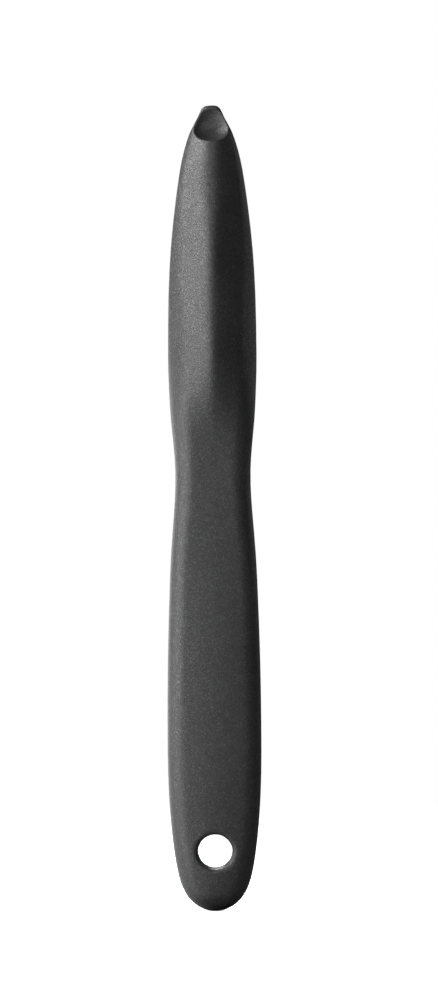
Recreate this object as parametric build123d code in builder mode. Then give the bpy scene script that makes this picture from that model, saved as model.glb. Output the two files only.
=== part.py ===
from build123d import *

import math
import os

# A swivel peeler with a gouge tip: one moulded frame, a steel blade that swivels under its bow, and two
# pivot pins.
#
# Frame: millimetres. +Z runs from the tail to the gouge tip, the ridge of the bow faces -Y and the blade
# faces +Y. The origin is the centre of the hang hole, on the handle's mid-plane.

# ---- Driving dimensions --------------------------------------------------------------------------

LENGTH = 165.0
HOLE_ABOVE_TAIL = 12.3
HOLE_RADIUS = 3.5
HOLE_MOUTH_FILLET = 0.9
TAIL = -HOLE_ABOVE_TAIL
ACROSS = 40.0  # wider and deeper than the tool, for cuts that pass right through it

# The frame's outer shape, as (height above the tail, value) stations joined by smooth curves.
HALF_WIDTH = [
    (0, 8.7), (8, 8.12), (12.5, 8.42), (18, 9.0), (25, 9.45), (36, 9.61), (50, 9.47), (64, 9.09), (78, 8.37),
    (88.5, 7.7), (95.5, 8.08), (103, 8.71), (115, 9.05), (127, 8.88), (137, 8.26), (145, 7.34), (152, 6.29),
    (157.3, 5.07), (162.9, 2.57), (165, 1.65),
]
RIDGE_Y = [
    (0, -3.7), (92, -3.7), (111, -7.8), (117, -8.2), (128, -7.5), (150, -5.0), (158, -3.5), (162.2, -0.9),
    (165, 0.7),
]
WIDEST_Y = [(0, 0.0), (92, 0.0), (112, -0.3), (140, -0.3), (158, 0.5), (165, 1.1)]
BACK_Y = [(0, 3.7), (78, 3.7), (92, 4.4), (152, 4.4), (165, 2.0)]
ROOF_DROP = [(0, 0.0), (94, 0.0), (112, 0.5), (124, 0.6), (145, 0.8), (158, 0.8), (165, 0.5)]
RIDGE_SOFTNESS = [(0, 0.14), (130, 0.14), (149, 0.4), (165, 0.9)]  # half-widths that the ridge is rounded over
CROWN_DROP = [(0, 0.25), (55, 0.25), (88, 0.08), (112, 0.2), (126, 0.15), (148, 0.03), (165, 0.05)]
EDGE_BAND = [(0, 3.4), (72, 3.4), (94, 4.0), (118, 3.8), (145, 1.5), (165, 0.9)]  # width of the edges' rounding
EDGE_BAND_LIMIT = 0.5  # the most of the half-width that the rounding takes
BACK_CROWN = 0.08
TAIL_ROUND = 12.0
TIP_ROUND = 0.8
EDGE_ROUND = 3.7
LOFT_HEIGHTS = [
    0.04, 0.3, 1.0, 2.4, 4.8, 8.4, 12.5, 18, 26, 38, 52, 64, 74, 82, 90, 96, 101, 106, 111,
    118, 127, 136, 143, 149, 153.5, 157.3, 160, 162.2, 163.6, 164.5, 164.95,
]

# The bow: a shell open at the back, between a bulkhead at the neck and one at the tip.
NECK_FACE = 95.0
TIP_FACE = 151.0
WALL = 2.3
CAVITY_SECTIONS = 6
OPEN_BACK = 9.0  # y past everything, where cutters end
RIM_MID_Y = 0.5  # the rim dips from RIM_END_Y at the bulkheads to here, so that peel can leave sideways
RIM_END_Y = 4.8

# The shallow pocket beside each bulkhead, whose sloped floor stops the blade.
POCKET_DEPTH = 3.6
NECK_POCKET_HALF_WIDTH = 5.7
TIP_POCKET_HALF_WIDTH = 5.0
STOP_GAP = 0.08

# The gouge is an ellipsoid scooped out of the tip.
GOUGE_RADII = (5.4, 4.7, 4.2)
GOUGE_HEIGHT = 161.6
GOUGE_Y = -3.3

# The blade: an arched strip with a slot along it and an ear turned down at each end.
PIVOT_Y = 2.2
CROWN_Y = 4.8
BLADE_GAP = 0.3  # between each ear and its bulkhead
BLADE_HALF_WIDTH = 5.0
BLADE_RISE = 2.2
BLADE_STEEL = 0.8
BLADE_END_ROUND = 10.0
BLADE_END_HALF_WIDTH = 2.6
SLOT_HALF_WIDTH = 1.7
SLOT_LENGTH = 44.0
SLOT_BEVEL = 45
EAR_RADIUS = 2.0
EAR_CLEARANCE = 0.3
SWIVEL = 25.0

# The pivot pins: a head inside the ear and a shank pressed into the bulkhead.
PIN_RADIUS = 0.9
PIN_DEPTH = 4.0
PIN_CLEARANCE = 0.05
PIN_BORE_DEPTH = 4.2
PIN_HEAD_RADIUS = 1.5
PIN_HEAD = 0.8
PIN_HEAD_GAP = 0.15
PIN_HEAD_FILLET = 0.4
PIN_END_CHAMFER = 0.2


# ---- Shape formulas ------------------------------------------------------------------------------


def along(stations, height):
    """The smooth curve through the stations, at a height above the tail, without overshoot between them."""
    heights = [h for h, _ in stations]
    values = [v for _, v in stations]
    steps = [b - a for a, b in zip(heights, heights[1:])]
    slopes = [(b - a) / s for a, b, s in zip(values, values[1:], steps)]
    tangents = [0.0]
    for before, after in zip(slopes, slopes[1:]):
        tangents.append(2 * before * after / (before + after) if before * after > 0 else 0.0)
    tangents.append(slopes[-1])
    k = next((i for i, h in enumerate(heights[1:]) if height <= h), len(steps) - 1)
    t = (height - heights[k]) / steps[k]
    start = values[k] + t * steps[k] * tangents[k]
    end = values[k + 1] - (1 - t) * steps[k] * tangents[k + 1]
    blend = t * t * (3 - 2 * t)
    return start + (end - start) * blend


def quarter_round(distance, length):
    """1 away from an end, and a quarter ellipse down to 0 at the end."""
    return math.sqrt(1 - (1 - min(1.0, distance / length)) ** 2)


def roof(u, softness):
    """0 on the ridge and 1 at the edge: straight flanks that meet in a rounded ridge."""
    return (math.hypot(u, softness) - softness) / (math.hypot(1, softness) - softness)


def half_section(height, inset=0.0, facing_back=False, points=16):
    """Points from the left edge to the right edge of the outer section, or of one that is inset from it."""
    tip = quarter_round(LENGTH - height, TIP_ROUND)
    half_width = along(HALF_WIDTH, height) * quarter_round(height, TAIL_ROUND) * tip - inset
    thinning = quarter_round(height, EDGE_ROUND) * tip
    widest = along(WIDEST_Y, height)
    face = along(BACK_Y if facing_back else RIDGE_Y, height)
    depth = (face - widest) * thinning + (inset if face < widest else -inset)
    drop = 0.0 if facing_back else along(ROOF_DROP, height)
    softness = along(RIDGE_SOFTNESS, height)
    crown = BACK_CROWN if facing_back else along(CROWN_DROP, height)
    band = min(along(EDGE_BAND, height), EDGE_BAND_LIMIT * half_width)
    outline = []
    for step in range(-points, points + 1):
        sine = math.sin(math.pi / 2 * step / points)
        u = abs(sine)
        into_band = max(0.0, 1 - (1 - u) * half_width / band)
        rise = (1 - crown * u**2 - drop * roof(u, softness)) * math.sqrt(1 - into_band**2)
        outline.append((half_width * sine, widest + depth * rise))
    return outline


def level(height):
    """The plane across the tool at a height above the tail."""
    return Plane.XY.offset(TAIL + height)


BOW_MID = (NECK_FACE + TIP_FACE) / 2

# ---- Cutters for the frame -----------------------------------------------------------------------

with BuildPart() as bow_cavity:
    cavity_low = NECK_FACE + POCKET_DEPTH
    cavity_high = TIP_FACE - POCKET_DEPTH
    for step in range(CAVITY_SECTIONS):
        cavity_height = cavity_low + (cavity_high - cavity_low) * step / (CAVITY_SECTIONS - 1)
        roof_line = half_section(cavity_height, WALL)
        left, right = roof_line[0], roof_line[-1]
        with BuildSketch(level(cavity_height)):
            with BuildLine():
                Spline(*roof_line)
                Polyline(left, (left[0], OPEN_BACK), (right[0], OPEN_BACK), right)
            make_face()
    loft()

# Beside each bulkhead the shell's floor rises to two slopes, where the blade's shoulders stop at either end of
# its swing.
BLADE_RADIUS = (BLADE_HALF_WIDTH**2 + BLADE_RISE**2) / (2 * BLADE_RISE)
SHOULDER_TAPER = quarter_round(POCKET_DEPTH - BLADE_GAP, BLADE_END_ROUND)
SHOULDER = BLADE_END_HALF_WIDTH + (BLADE_HALF_WIDTH - BLADE_END_HALF_WIDTH) * SHOULDER_TAPER
SHOULDER_Y = CROWN_Y - BLADE_RADIUS + math.sqrt((BLADE_RADIUS - BLADE_STEEL) ** 2 - SHOULDER**2)
STOP_RISE = (SHOULDER_Y - PIVOT_Y - STOP_GAP) / math.cos(math.radians(SWIVEL))
STOP_SLOPE = math.tan(math.radians(SWIVEL))
POCKETS = [
    (NECK_FACE, NECK_POCKET_HALF_WIDTH, POCKET_DEPTH),
    (TIP_FACE, TIP_POCKET_HALF_WIDTH, -POCKET_DEPTH),
]

with BuildPart() as stop_pockets:
    for face_height, half_width, pocket in POCKETS:
        edge_y = PIVOT_Y + STOP_RISE - STOP_SLOPE * half_width
        with BuildSketch(level(face_height)):
            with BuildLine():
                Polyline(
                    (-half_width, OPEN_BACK),
                    (-half_width, edge_y),
                    (0, PIVOT_Y + STOP_RISE),
                    (half_width, edge_y),
                    (half_width, OPEN_BACK),
                    close=True,
                )
            make_face()
            with Locations((0, PIVOT_Y)):
                Circle(EAR_RADIUS + EAR_CLEARANCE)
        extrude(amount=pocket)

with BuildPart() as bow_window:
    with BuildSketch(Plane.YZ):
        with BuildLine():
            ThreePointArc(
                (RIM_END_Y, TAIL + NECK_FACE),
                (RIM_MID_Y, TAIL + BOW_MID),
                (RIM_END_Y, TAIL + TIP_FACE),
            )
            Polyline(
                (RIM_END_Y, TAIL + TIP_FACE),
                (OPEN_BACK, TAIL + TIP_FACE),
                (OPEN_BACK, TAIL + NECK_FACE),
                (RIM_END_Y, TAIL + NECK_FACE),
            )
        make_face()
    extrude(amount=ACROSS / 2, both=True)

# The scoop's poles face sideways, clear of the tip.
with BuildPart() as gouge_scoop:
    with Locations(Plane(origin=(0, 0, 0), x_dir=(0, -1, 0), z_dir=(1, 0, 0))):
        Sphere(1)
    scale(by=GOUGE_RADII)

# ---- Handle frame --------------------------------------------------------------------------------

with BuildPart() as handle_frame:
    for height in LOFT_HEIGHTS:
        with BuildSketch(level(height)):
            with BuildLine():
                Spline(*half_section(height))
                Spline(*half_section(height, facing_back=True))
            make_face()
    loft()

    add(gouge_scoop.part.moved(Location((0, GOUGE_Y, TAIL + GOUGE_HEIGHT))), mode=Mode.SUBTRACT)
    add(bow_cavity.part, mode=Mode.SUBTRACT)
    add(stop_pockets.part, mode=Mode.SUBTRACT)
    add(bow_window.part, mode=Mode.SUBTRACT)

    with BuildSketch(Plane.XZ):
        Circle(HOLE_RADIUS)
    extrude(amount=ACROSS / 2, both=True, mode=Mode.SUBTRACT)
    round_walls = handle_frame.faces().filter_by(GeomType.CYLINDER)
    hole_wall = round_walls.filter_by(lambda wall: abs(wall.radius - HOLE_RADIUS) < 0.01)
    fillet(hole_wall.edges().filter_by(GeomType.LINE, reverse=True), HOLE_MOUTH_FILLET)

    for face_height, bore in ((NECK_FACE, -PIN_BORE_DEPTH), (TIP_FACE, PIN_BORE_DEPTH)):
        with BuildSketch(level(face_height)):
            with Locations((0, PIVOT_Y)):
                Circle(PIN_RADIUS)
        extrude(amount=bore, mode=Mode.SUBTRACT)

# ---- Swivel blade --------------------------------------------------------------------------------

BLADE_BOTTOM = NECK_FACE + BLADE_GAP
BLADE_TOP = TIP_FACE - BLADE_GAP

with BuildPart() as swivel_blade:
    with BuildSketch(level(BLADE_BOTTOM)):
        with Locations((0, CROWN_Y - BLADE_RADIUS)):
            Circle(BLADE_RADIUS)
            Circle(BLADE_RADIUS - BLADE_STEEL, mode=Mode.SUBTRACT)
        with Locations((0, CROWN_Y - BLADE_RADIUS)):
            Rectangle(ACROSS, BLADE_RADIUS, align=(Align.CENTER, Align.MIN), mode=Mode.INTERSECT)
    extrude(amount=BLADE_TOP - BLADE_BOTTOM)

    with BuildSketch(Plane.XZ) as blade_outline:
        with BuildLine():
            top, bottom = TAIL + BLADE_TOP, TAIL + BLADE_BOTTOM
            Polyline((BLADE_END_HALF_WIDTH, top), (-BLADE_END_HALF_WIDTH, top))
            EllipticalCenterArc(
                (-BLADE_END_HALF_WIDTH, top - BLADE_END_ROUND),
                BLADE_HALF_WIDTH - BLADE_END_HALF_WIDTH,
                BLADE_END_ROUND,
                start_angle=90,
                arc_size=90,
            )
            Line((-BLADE_HALF_WIDTH, top - BLADE_END_ROUND), (-BLADE_HALF_WIDTH, bottom + BLADE_END_ROUND))
            EllipticalCenterArc(
                (-BLADE_END_HALF_WIDTH, bottom + BLADE_END_ROUND),
                BLADE_HALF_WIDTH - BLADE_END_HALF_WIDTH,
                BLADE_END_ROUND,
                start_angle=180,
                arc_size=90,
            )
            Line((-BLADE_END_HALF_WIDTH, bottom), (0, bottom))
            mirror(about=Plane.YZ)
        make_face()
    extrude(amount=ACROSS / 2, both=True, mode=Mode.INTERSECT)

    for ear_height, ear_steel in ((BLADE_BOTTOM, BLADE_STEEL), (BLADE_TOP, -BLADE_STEEL)):
        with BuildSketch(level(ear_height)):
            with Locations((0, PIVOT_Y)):
                Circle(EAR_RADIUS)
                Rectangle(2 * EAR_RADIUS, ACROSS, align=(Align.CENTER, Align.MIN))
            with Locations((0, CROWN_Y - BLADE_RADIUS)):
                Circle(BLADE_RADIUS, mode=Mode.INTERSECT)
        extrude(amount=ear_steel)

    slot_edge_y = CROWN_Y - BLADE_RADIUS + math.sqrt(BLADE_RADIUS**2 - SLOT_HALF_WIDTH**2)
    slot_plane = Plane(origin=(0, slot_edge_y, TAIL + BOW_MID), x_dir=(0, 0, 1), z_dir=(0, -1, 0))
    with BuildSketch(slot_plane) as slot:
        SlotOverall(SLOT_LENGTH, 2 * SLOT_HALF_WIDTH)
    extrude(slot.sketch, amount=-BLADE_RISE, mode=Mode.SUBTRACT)
    extrude(slot.sketch, amount=BLADE_RISE, taper=-SLOT_BEVEL, mode=Mode.SUBTRACT)

    with BuildSketch(level(BLADE_BOTTOM)):
        with Locations((0, PIVOT_Y)):
            Circle(PIN_RADIUS + PIN_CLEARANCE)
    extrude(amount=BLADE_TOP - BLADE_BOTTOM, mode=Mode.SUBTRACT)

# ---- Pivot pins ----------------------------------------------------------------------------------

PIN_HEAD_UNDER = TIP_FACE - BLADE_GAP - BLADE_STEEL - PIN_HEAD_GAP

with BuildPart() as tip_pivot_pin:
    with BuildSketch(level(PIN_HEAD_UNDER)):
        with Locations((0, PIVOT_Y)):
            Circle(PIN_HEAD_RADIUS)
    extrude(amount=-PIN_HEAD)
    fillet(tip_pivot_pin.edges().sort_by(Axis.Z)[0], PIN_HEAD_FILLET)
    with BuildSketch(level(PIN_HEAD_UNDER)):
        with Locations((0, PIVOT_Y)):
            Circle(PIN_RADIUS)
    extrude(amount=TIP_FACE + PIN_DEPTH - PIN_HEAD_UNDER)
    chamfer(tip_pivot_pin.edges().sort_by(Axis.Z)[-1], PIN_END_CHAMFER)

with BuildPart() as neck_pivot_pin:
    mirror(tip_pivot_pin.part, about=level(BOW_MID))

# ---- Export --------------------------------------------------------------------------------------

os.makedirs("parts", exist_ok=True)
for name, piece in {
    "handle_frame": handle_frame,
    "swivel_blade": swivel_blade,
    "tip_pivot_pin": tip_pivot_pin,
    "neck_pivot_pin": neck_pivot_pin,
}.items():
    piece.part.label = name
    export_step(piece.part, f"parts/{name}.step")
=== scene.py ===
"""Swivel peeler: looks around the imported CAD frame.

Everything is in metres in the CAD's frame: +Z from the tail to the gouge tip, -Y towards the ridge of
the bow (the side that the camera sees) and +Y towards the blade. MM turns millimetres to metres.
"""

import math

import bpy
from mathutils import Matrix, Vector


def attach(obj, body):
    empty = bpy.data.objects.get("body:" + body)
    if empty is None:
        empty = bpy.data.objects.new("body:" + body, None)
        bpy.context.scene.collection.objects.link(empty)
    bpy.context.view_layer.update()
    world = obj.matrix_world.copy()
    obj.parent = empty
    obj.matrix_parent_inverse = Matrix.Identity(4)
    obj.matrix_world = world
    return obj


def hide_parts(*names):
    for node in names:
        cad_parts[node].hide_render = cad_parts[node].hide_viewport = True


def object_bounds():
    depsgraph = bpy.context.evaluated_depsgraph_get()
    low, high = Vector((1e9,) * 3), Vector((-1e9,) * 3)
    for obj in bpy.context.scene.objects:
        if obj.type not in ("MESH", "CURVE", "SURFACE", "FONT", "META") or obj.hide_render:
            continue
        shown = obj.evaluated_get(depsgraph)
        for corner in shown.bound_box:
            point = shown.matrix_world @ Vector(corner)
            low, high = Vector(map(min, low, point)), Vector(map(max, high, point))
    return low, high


MM = 0.001

# ---- Finish of the moulding. Scales are in cells per metre ----
VOXEL = 0.22 * MM
EDGE_SOFTENING_PASSES = 6
GRAIN_SCALE = 5600.0
CRATER_SCALE = 4800.0
GRAIN_DEPTH = 0.06 * MM
MOTTLE_SCALE = 110.0
PLASTIC_COLOUR = (0.0125, 0.0125, 0.0132)

# ---- Finish of the steel. Unequal scales make streaks: along the blade, and around the pins ----
BLADE_COLOUR = (0.46, 0.46, 0.45)
BLADE_STREAKS = (5000.0, 5000.0, 90.0)
PIN_COLOUR = (0.44, 0.44, 0.43)
PIN_STREAKS = (900.0, 900.0, 6000.0)
STEEL_ROUGHNESS = 0.36
STREAK_DEPTH = 0.01 * MM
STAIN_SCALE = 220.0
EDGE_ON_TINT = (0.25, 0.25, 0.25, 1)  # ground steel seen edge on reflects less

# ---- Camera, square on from -Y ----
TOOL_SHARE_OF_HEIGHT = 0.8075  # how much of the picture's height the tool fills
LENS = 180.0  # millimetres, as Blender takes it
SENSOR = 36.0
LEAN = math.radians(0.335)
CENTRE_OFFSET = (0.0058, 0.0078)  # as shares of the picture's longer side

# ---- Studio: a bank of soft lights on the left, from front to back, and weak fills ----
LIGHT_DISTANCE = 0.5
LIGHT_SIDE = 0.2
# Azimuth in degrees (0 is the camera's side, positive is towards +X), elevation in degrees, watts.
SOFTBOXES = {
    "bank_high": (-85, 55, 1.5),
    "bank_upper": (-78, 33, 3.0),
    "bank_side": (-85, 0, 0.3),
    "bank_behind": (-140, 0, 0.6),
    "bank_middle": (-56, 0, 1.25),
    "bank_front": (-34, 0, 0.5),
    "front": (-22, 0, 0.25),
    "front_high": (5, 28, 0.45),
    "right_high": (25, 50, 0.4),
    "right": (50, 0, 0.1),
    "right_behind": (125, 15, 0.15),
    "behind": (190, 35, 2.6),
}
WORLD_IN_FRONT = 0.015
WORLD_BEHIND = 0.12
FLOOR_RADIUS = 0.45
FLOOR_RINGS = 12
FLOOR_SPOKES = 48
FLOOR_GLOW = 0.75
FLOOR_BOUNCE = (0.12, 0.12, 0.12, 1)
PANEL_NEAR = 1.6  # the unseen light from the floor's left half, beside the tail
PANEL_FAR = 3.0  # what is added to it towards the floor's left rim

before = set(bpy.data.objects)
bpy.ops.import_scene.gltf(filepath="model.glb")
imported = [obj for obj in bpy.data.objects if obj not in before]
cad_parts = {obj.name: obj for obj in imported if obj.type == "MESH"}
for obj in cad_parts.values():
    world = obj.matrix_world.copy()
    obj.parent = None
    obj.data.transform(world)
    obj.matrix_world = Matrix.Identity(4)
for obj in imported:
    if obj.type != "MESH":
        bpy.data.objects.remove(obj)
cad_low, cad_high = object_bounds()
TOOL_LENGTH = cad_high.z - cad_low.z
TOOL_CENTRE = (cad_low + cad_high) / 2


# ---- Helpers -------------------------------------------------------------------------------------


class Nodes:
    """A node tree, filled by short calls. Inputs are plain values or the outputs of other nodes."""

    def __init__(self, tree):
        self.tree = tree
        tree.nodes.clear()

    def add(self, kind, inputs=None, **settings):
        node = self.tree.nodes.new(kind)
        for name, value in settings.items():
            setattr(node, name, value)
        for name, value in (inputs or {}).items():
            if isinstance(value, bpy.types.NodeSocket):
                self.tree.links.new(value, node.inputs[name])
            else:
                node.inputs[name].default_value = value
        return node

    def math(self, operation, *values):
        return self.add("ShaderNodeMath", dict(enumerate(values)), operation=operation).outputs[0]

    def noise(self, vector, scale, detail=2.0, roughness=0.5):
        inputs = {"Vector": vector, "Scale": scale, "Detail": detail, "Roughness": roughness}
        return self.add("ShaderNodeTexNoise", inputs).outputs["Fac"]

    def spread(self, value, low, high, to_low=0.0, to_high=1.0):
        """Maps low..high to to_low..to_high, clamped."""
        inputs = {"Value": value, "From Min": low, "From Max": high, "To Min": to_low, "To Max": to_high}
        return self.add("ShaderNodeMapRange", inputs).outputs[0]

    def bump(self, height, strength, distance):
        inputs = {"Height": height, "Strength": strength, "Distance": distance}
        return self.add("ShaderNodeBump", inputs).outputs[0]

    def shaded(self, colour, amount):
        """The colour, made lighter or darker by the amount."""
        node = self.add("ShaderNodeVectorMath", {0: colour}, operation="SCALE")
        self.tree.links.new(amount, node.inputs["Scale"])
        return node.outputs[0]


def new_material(name):
    material = bpy.data.materials.new(name)
    material.use_nodes = True
    return material, Nodes(material.node_tree)


# ---- Materials -----------------------------------------------------------------------------------


def moulded_black_plastic():
    """Black plastic with a fine matt grain, faint flow mottling and edges polished by handling."""
    material, n = new_material("moulded_black_plastic")
    place = n.add("ShaderNodeTexCoord").outputs["Object"]
    grain = n.noise(place, GRAIN_SCALE, roughness=0.6)
    craters = n.add("ShaderNodeTexVoronoi", {"Vector": place, "Scale": CRATER_SCALE})
    mottle = n.noise(place, MOTTLE_SCALE, detail=4.0)
    worn = n.spread(n.add("ShaderNodeNewGeometry").outputs["Pointiness"], 0.52, 0.60)
    fine = n.bump(n.math("MULTIPLY_ADD", craters.outputs["Distance"], 0.7, grain), 0.7, GRAIN_DEPTH)
    rough = n.math("MULTIPLY_ADD", worn, -0.06, n.spread(mottle, 0.3, 0.7, 0.43, 0.49))

    # A few cells of the grain are brighter facets.
    facet = n.add("ShaderNodeSeparateColor", {"Color": craters.outputs["Color"]}).outputs["Red"]
    glint = n.math("POWER", facet, 6.0)
    shine = n.math("MULTIPLY_ADD", glint, 0.40, n.spread(grain, 0.35, 0.70, 0.25, 0.62))

    colour = n.shaded(PLASTIC_COLOUR, n.spread(mottle, 0.3, 0.7, 0.85, 1.15))
    inputs = {"Base Color": colour, "Roughness": rough, "Specular IOR Level": shine, "Normal": fine}
    gloss = n.add("ShaderNodeBsdfPrincipled", inputs).outputs[0]

    # At a glancing angle the grain hides part of the reflection.
    dull = n.add("ShaderNodeBsdfDiffuse", {"Color": colour, "Normal": fine}).outputs[0]
    glancing = n.add("ShaderNodeLayerWeight", {"Blend": 0.5}).outputs["Facing"]
    hidden = n.spread(glancing, 0.75, 1.0, 0.0, 0.5)
    surface = n.add("ShaderNodeMixShader", {0: hidden, 1: gloss, 2: dull})
    n.add("ShaderNodeOutputMaterial", {"Surface": surface.outputs[0]})
    return material


def ground_steel(name, colour, streak_scale):
    """Stainless steel with fine streaks in its roughness and height, and faint stains in its colour."""
    material, n = new_material(name)
    place = n.add("ShaderNodeTexCoord").outputs["Object"]
    stretched = n.add("ShaderNodeMapping", {"Vector": place, "Scale": streak_scale}).outputs[0]
    streaks = n.noise(stretched, 1.0, detail=4.0, roughness=0.65)
    stain = n.noise(place, STAIN_SCALE, detail=3.0)
    inputs = {
        "Base Color": n.shaded(colour, n.spread(stain, 0.35, 0.7, 0.92, 1.06)),
        "Metallic": 1.0,
        "Specular Tint": EDGE_ON_TINT,
        "Roughness": n.spread(streaks, 0.3, 0.7, STEEL_ROUGHNESS - 0.06, STEEL_ROUGHNESS + 0.08),
        "Normal": n.bump(streaks, 0.25, STREAK_DEPTH),
    }
    surface = n.add("ShaderNodeBsdfPrincipled", inputs)
    n.add("ShaderNodeOutputMaterial", {"Surface": surface.outputs[0]})
    return material


# ---- Pieces --------------------------------------------------------------------------------------


def moulding():
    """The handle frame's skin, rebuilt with an even mesh whose edges are rounded as a moulding's are."""
    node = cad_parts["handle_frame"]
    piece = bpy.data.objects.new("handle_frame_moulding", node.data.copy())
    bpy.context.scene.collection.objects.link(piece)
    remesh = piece.modifiers.new("even_mesh", "REMESH")
    remesh.mode = "VOXEL"
    remesh.voxel_size = VOXEL
    soften = piece.modifiers.new("soft_edges", "SMOOTH")
    soften.factor = 0.5
    soften.iterations = EDGE_SOFTENING_PASSES
    graph = bpy.context.evaluated_depsgraph_get()
    mesh = bpy.data.meshes.new_from_object(piece.evaluated_get(graph))
    mesh.name = "handle_frame_moulding"
    piece.modifiers.clear()
    piece.data = mesh
    mesh.shade_smooth()
    mesh.materials.clear()
    mesh.materials.append(moulded_black_plastic())
    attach(piece, "frame")
    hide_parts("handle_frame")


def steel_parts():
    """The blade and the pins keep their CAD meshes."""
    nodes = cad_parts
    blade = ground_steel("ground_blade_steel", BLADE_COLOUR, BLADE_STREAKS)
    pins = ground_steel("turned_pin_steel", PIN_COLOUR, PIN_STREAKS)
    for name, material in (("swivel_blade", blade), ("tip_pivot_pin", pins), ("neck_pivot_pin", pins)):
        mesh = nodes[name].data
        mesh.materials.clear()
        mesh.materials.append(material)


# ---- Studio --------------------------------------------------------------------------------------


def disc_mesh(name, radius, rings, spokes, height):
    """A flat disc of rings and spokes round the Z axis."""
    spots = [(0.0, 0.0, height)]
    for ring in range(1, rings + 1):
        reach = radius * ring / rings
        for spoke in range(spokes):
            turn = 2 * math.pi * spoke / spokes
            spots.append((reach * math.cos(turn), reach * math.sin(turn), height))
    faces = [(0, 1 + spoke, 1 + (spoke + 1) % spokes) for spoke in range(spokes)]
    for ring in range(rings - 1):
        inner, outer = 1 + ring * spokes, 1 + (ring + 1) * spokes
        for spoke in range(spokes):
            after = (spoke + 1) % spokes
            faces.append((inner + spoke, outer + spoke, outer + after, inner + after))
    mesh = bpy.data.meshes.new(name)
    mesh.from_pydata(spots, [], faces)
    return mesh


def pale_floor():
    """White for the camera, but a dim light on the tool, with a lit panel in its left half."""
    material, n = new_material("pale_floor")
    place = n.add("ShaderNodeTexCoord").outputs["Object"]

    # What the camera sees: a pale card that fades to the white of the surroundings.
    reach = n.add("ShaderNodeVectorMath", {0: place}, operation="LENGTH").outputs["Value"]
    fade = n.spread(reach, 0.15 * FLOOR_RADIUS, 0.8 * FLOOR_RADIUS)
    card = n.add("ShaderNodeBsdfDiffuse", {"Color": (0.9, 0.9, 0.9, 1)}).outputs[0]
    glow = n.add("ShaderNodeEmission", {"Strength": FLOOR_GLOW}).outputs[0]
    white = n.add("ShaderNodeEmission", {"Strength": 1.0}).outputs[0]
    lit = n.add("ShaderNodeAddShader", {0: card, 1: glow}).outputs[0]
    seen = n.add("ShaderNodeMixShader", {0: fade, 1: lit, 2: white}).outputs[0]

    # What lights the tool.
    across = n.add("ShaderNodeSeparateXYZ", {"Vector": place}).outputs["X"]
    near = n.spread(across, 0.0, -0.02, 0.0, PANEL_NEAR)
    far = n.spread(across, -0.08, -0.3, 0.0, PANEL_FAR)
    panel = n.add("ShaderNodeEmission", {"Strength": n.math("ADD", near, far)}).outputs[0]
    dim = n.add("ShaderNodeBsdfDiffuse", {"Color": FLOOR_BOUNCE}).outputs[0]
    bounce = n.add("ShaderNodeAddShader", {0: dim, 1: panel}).outputs[0]

    to_camera = n.add("ShaderNodeLightPath").outputs["Is Camera Ray"]
    surface = n.add("ShaderNodeMixShader", {0: to_camera, 1: bounce, 2: seen})
    n.add("ShaderNodeOutputMaterial", {"Surface": surface.outputs[0]})
    return material


def floor():
    """A plain pale floor under the tail."""
    mesh = disc_mesh("floor", FLOOR_RADIUS, FLOOR_RINGS, FLOOR_SPOKES, cad_low.z)
    mesh.materials.append(pale_floor())
    disc = bpy.data.objects.new("floor", mesh)
    bpy.context.scene.collection.objects.link(disc)


def softbox(name, azimuth, elevation, power):
    """A square light that faces the tool and that the camera doesn't see."""
    a, e = math.radians(azimuth), math.radians(elevation)
    away = Vector((math.sin(a) * math.cos(e), -math.cos(a) * math.cos(e), math.sin(e)))
    light = bpy.data.lights.new(name, "AREA")
    light.size = LIGHT_SIDE
    light.energy = power
    lamp = bpy.data.objects.new(name, light)
    bpy.context.scene.collection.objects.link(lamp)
    lamp.location = TOOL_CENTRE + away * LIGHT_DISTANCE
    lamp.rotation_euler = away.to_track_quat("Z", "Y").to_euler()
    lamp.visible_camera = False


def surroundings():
    """White all round for the camera, but a dim light on the tool, dimmest on the camera's side."""
    world = bpy.data.worlds.new("studio")
    bpy.context.scene.world = world
    world.use_nodes = True
    n = Nodes(world.node_tree)
    incoming = n.add("ShaderNodeNewGeometry").outputs["Incoming"]
    towards_camera = n.add("ShaderNodeSeparateXYZ", {"Vector": incoming}).outputs["Y"]
    light = n.spread(towards_camera, 0.1, -0.5, WORLD_IN_FRONT, WORLD_BEHIND)
    seen = n.add("ShaderNodeLightPath").outputs["Is Camera Ray"]
    strength = n.math("MAXIMUM", light, seen)
    glow = n.add("ShaderNodeBackground", {"Color": (1, 1, 1, 1), "Strength": strength})
    n.add("ShaderNodeOutputWorld", {"Surface": glow.outputs[0]})


def camera():
    """Square on to the ridge, with the tool's top leaning a little to the left."""
    picture_height = TOOL_LENGTH / TOOL_SHARE_OF_HEIGHT
    distance = picture_height / 2 / (SENSOR / 2 / LENS)
    data = bpy.data.cameras.new("camera")
    data.lens = LENS
    data.sensor_width = SENSOR
    data.shift_x = CENTRE_OFFSET[0]
    data.shift_y = CENTRE_OFFSET[1]
    data.clip_start = 0.01
    data.clip_end = 20
    shooter = bpy.data.objects.new("camera", data)
    bpy.context.scene.collection.objects.link(shooter)
    shooter.location = TOOL_CENTRE + Vector((0, -distance, 0))
    upright = Vector((0, 1, 0)).to_track_quat("-Z", "Y").to_matrix().to_4x4()
    shooter.rotation_euler = (upright @ Matrix.Rotation(-LEAN, 4, "Z")).to_euler()
    bpy.context.scene.camera = shooter


moulding()
steel_parts()
floor()
for name, (azimuth, elevation, power) in SOFTBOXES.items():
    softbox(name, azimuth, elevation, power)
surroundings()
camera()

bpy.context.scene.view_settings.view_transform = "Standard"
